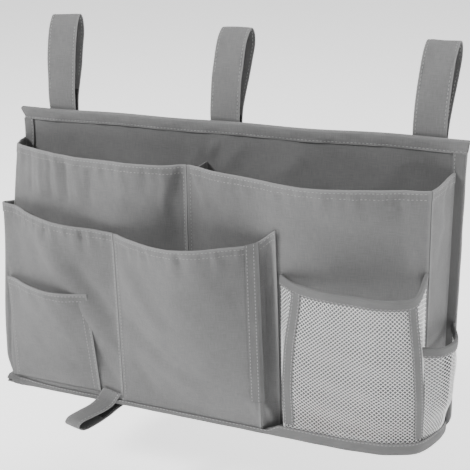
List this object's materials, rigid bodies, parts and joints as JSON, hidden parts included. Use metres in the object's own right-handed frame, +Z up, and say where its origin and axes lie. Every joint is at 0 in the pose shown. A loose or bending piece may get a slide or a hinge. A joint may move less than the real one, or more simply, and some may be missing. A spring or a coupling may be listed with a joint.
{
  "type": "bedside caddy",
  "caption": "Cloth caddy that hangs from a bed rail by looped straps, with tall, wide, flat and net pockets on a shallow base.",
  "frame": {"origin": "middle of the panel's top edge on its rear face, where the rail lies", "axes": "+Z up, +Y towards the bed behind the panel, +X along the panel to the right seen from the front"},
  "size_m": [0.4913, 0.1731, 0.4191],
  "materials": {
    "grey_cloth": "matt grey woven oxford cloth",
    "pale_cloth": "matt grey woven oxford cloth, lighter side",
    "dark_tape": "grey woven binding tape",
    "pale_net": "pale knitted diamond net",
    "black_tape": "black hook and loop tape",
    "board": "stiffening sheet"
  },
  "bodies": {
    "caddy": {"tall_pocket_left_gusset": "grey_cloth", "tall_pocket_left_front": "grey_cloth", "tall_pocket_right_front": "grey_cloth", "tall_pocket_right_gusset": "pale_cloth", "tall_pocket_divider": "grey_cloth", "wide_pocket_gusset": "grey_cloth", "wide_pocket_front": "grey_cloth", "middle_pocket_front": "grey_cloth", "middle_pocket_side": "grey_cloth", "front_pocket_divider": "grey_cloth", "middle_pocket_corner_tape": "dark_tape", "flat_pocket": "grey_cloth", "net_pocket_left_net": "pale_net", "net_pocket_front_net": "pale_net", "net_pocket_right_net": "pale_net", "net_pocket_top_tape": "dark_tape", "net_pocket_left_tape": "dark_tape", "net_pocket_right_tape": "dark_tape", "side_pocket_net": "pale_net", "side_pocket_top_tape": "dark_tape", "back_lining": "grey_cloth", "back_board": "board", "back_face_cloth": "grey_cloth", "top_band": "dark_tape", "left_side_binding": "dark_tape", "right_side_binding": "dark_tape", "base_cloth": "grey_cloth", "base_board": "board", "rim_binding": "dark_tape", "left_strap_sewn_leg": "grey_cloth", "left_loop_tape": "black_tape", "middle_strap_sewn_leg": "grey_cloth", "middle_loop_tape": "black_tape", "right_strap_sewn_leg": "grey_cloth", "right_loop_tape": "black_tape", "low_strap_sewn_leg": "grey_cloth", "low_loop_tape": "black_tape"},
    "left_strap_flap": {"left_strap_free_leg": "grey_cloth", "left_hook_tape": "black_tape"},
    "middle_strap_flap": {"middle_strap_free_leg": "grey_cloth", "middle_hook_tape": "black_tape"},
    "right_strap_flap": {"right_strap_free_leg": "grey_cloth", "right_hook_tape": "black_tape"},
    "low_strap_flap": {"low_strap_free_leg": "grey_cloth", "low_hook_tape": "black_tape"}
  },
  "joints": [
    {"name": "left_strap_opens", "type": "hinge", "parent": "caddy", "child": "left_strap_flap", "pos_m": [-0.1905, 0.03322, 0.09678], "axis": [1, 0, 0], "range_deg": [0, 120]},
    {"name": "middle_strap_opens", "type": "hinge", "parent": "caddy", "child": "middle_strap_flap", "pos_m": [-0.0005, 0.03897, 0.0888], "axis": [1, 0, 0], "range_deg": [0, 120]},
    {"name": "right_strap_opens", "type": "hinge", "parent": "caddy", "child": "right_strap_flap", "pos_m": [0.205, 0.04279, 0.0833], "axis": [1, 0, 0], "range_deg": [0, 120]},
    {"name": "low_strap_opens", "type": "hinge", "parent": "caddy", "child": "low_strap_flap", "pos_m": [-0.13572, -0.11393, -0.31748], "axis": [-0.9713, 0.238, 0], "range_deg": [0, 120]}
  ]
}
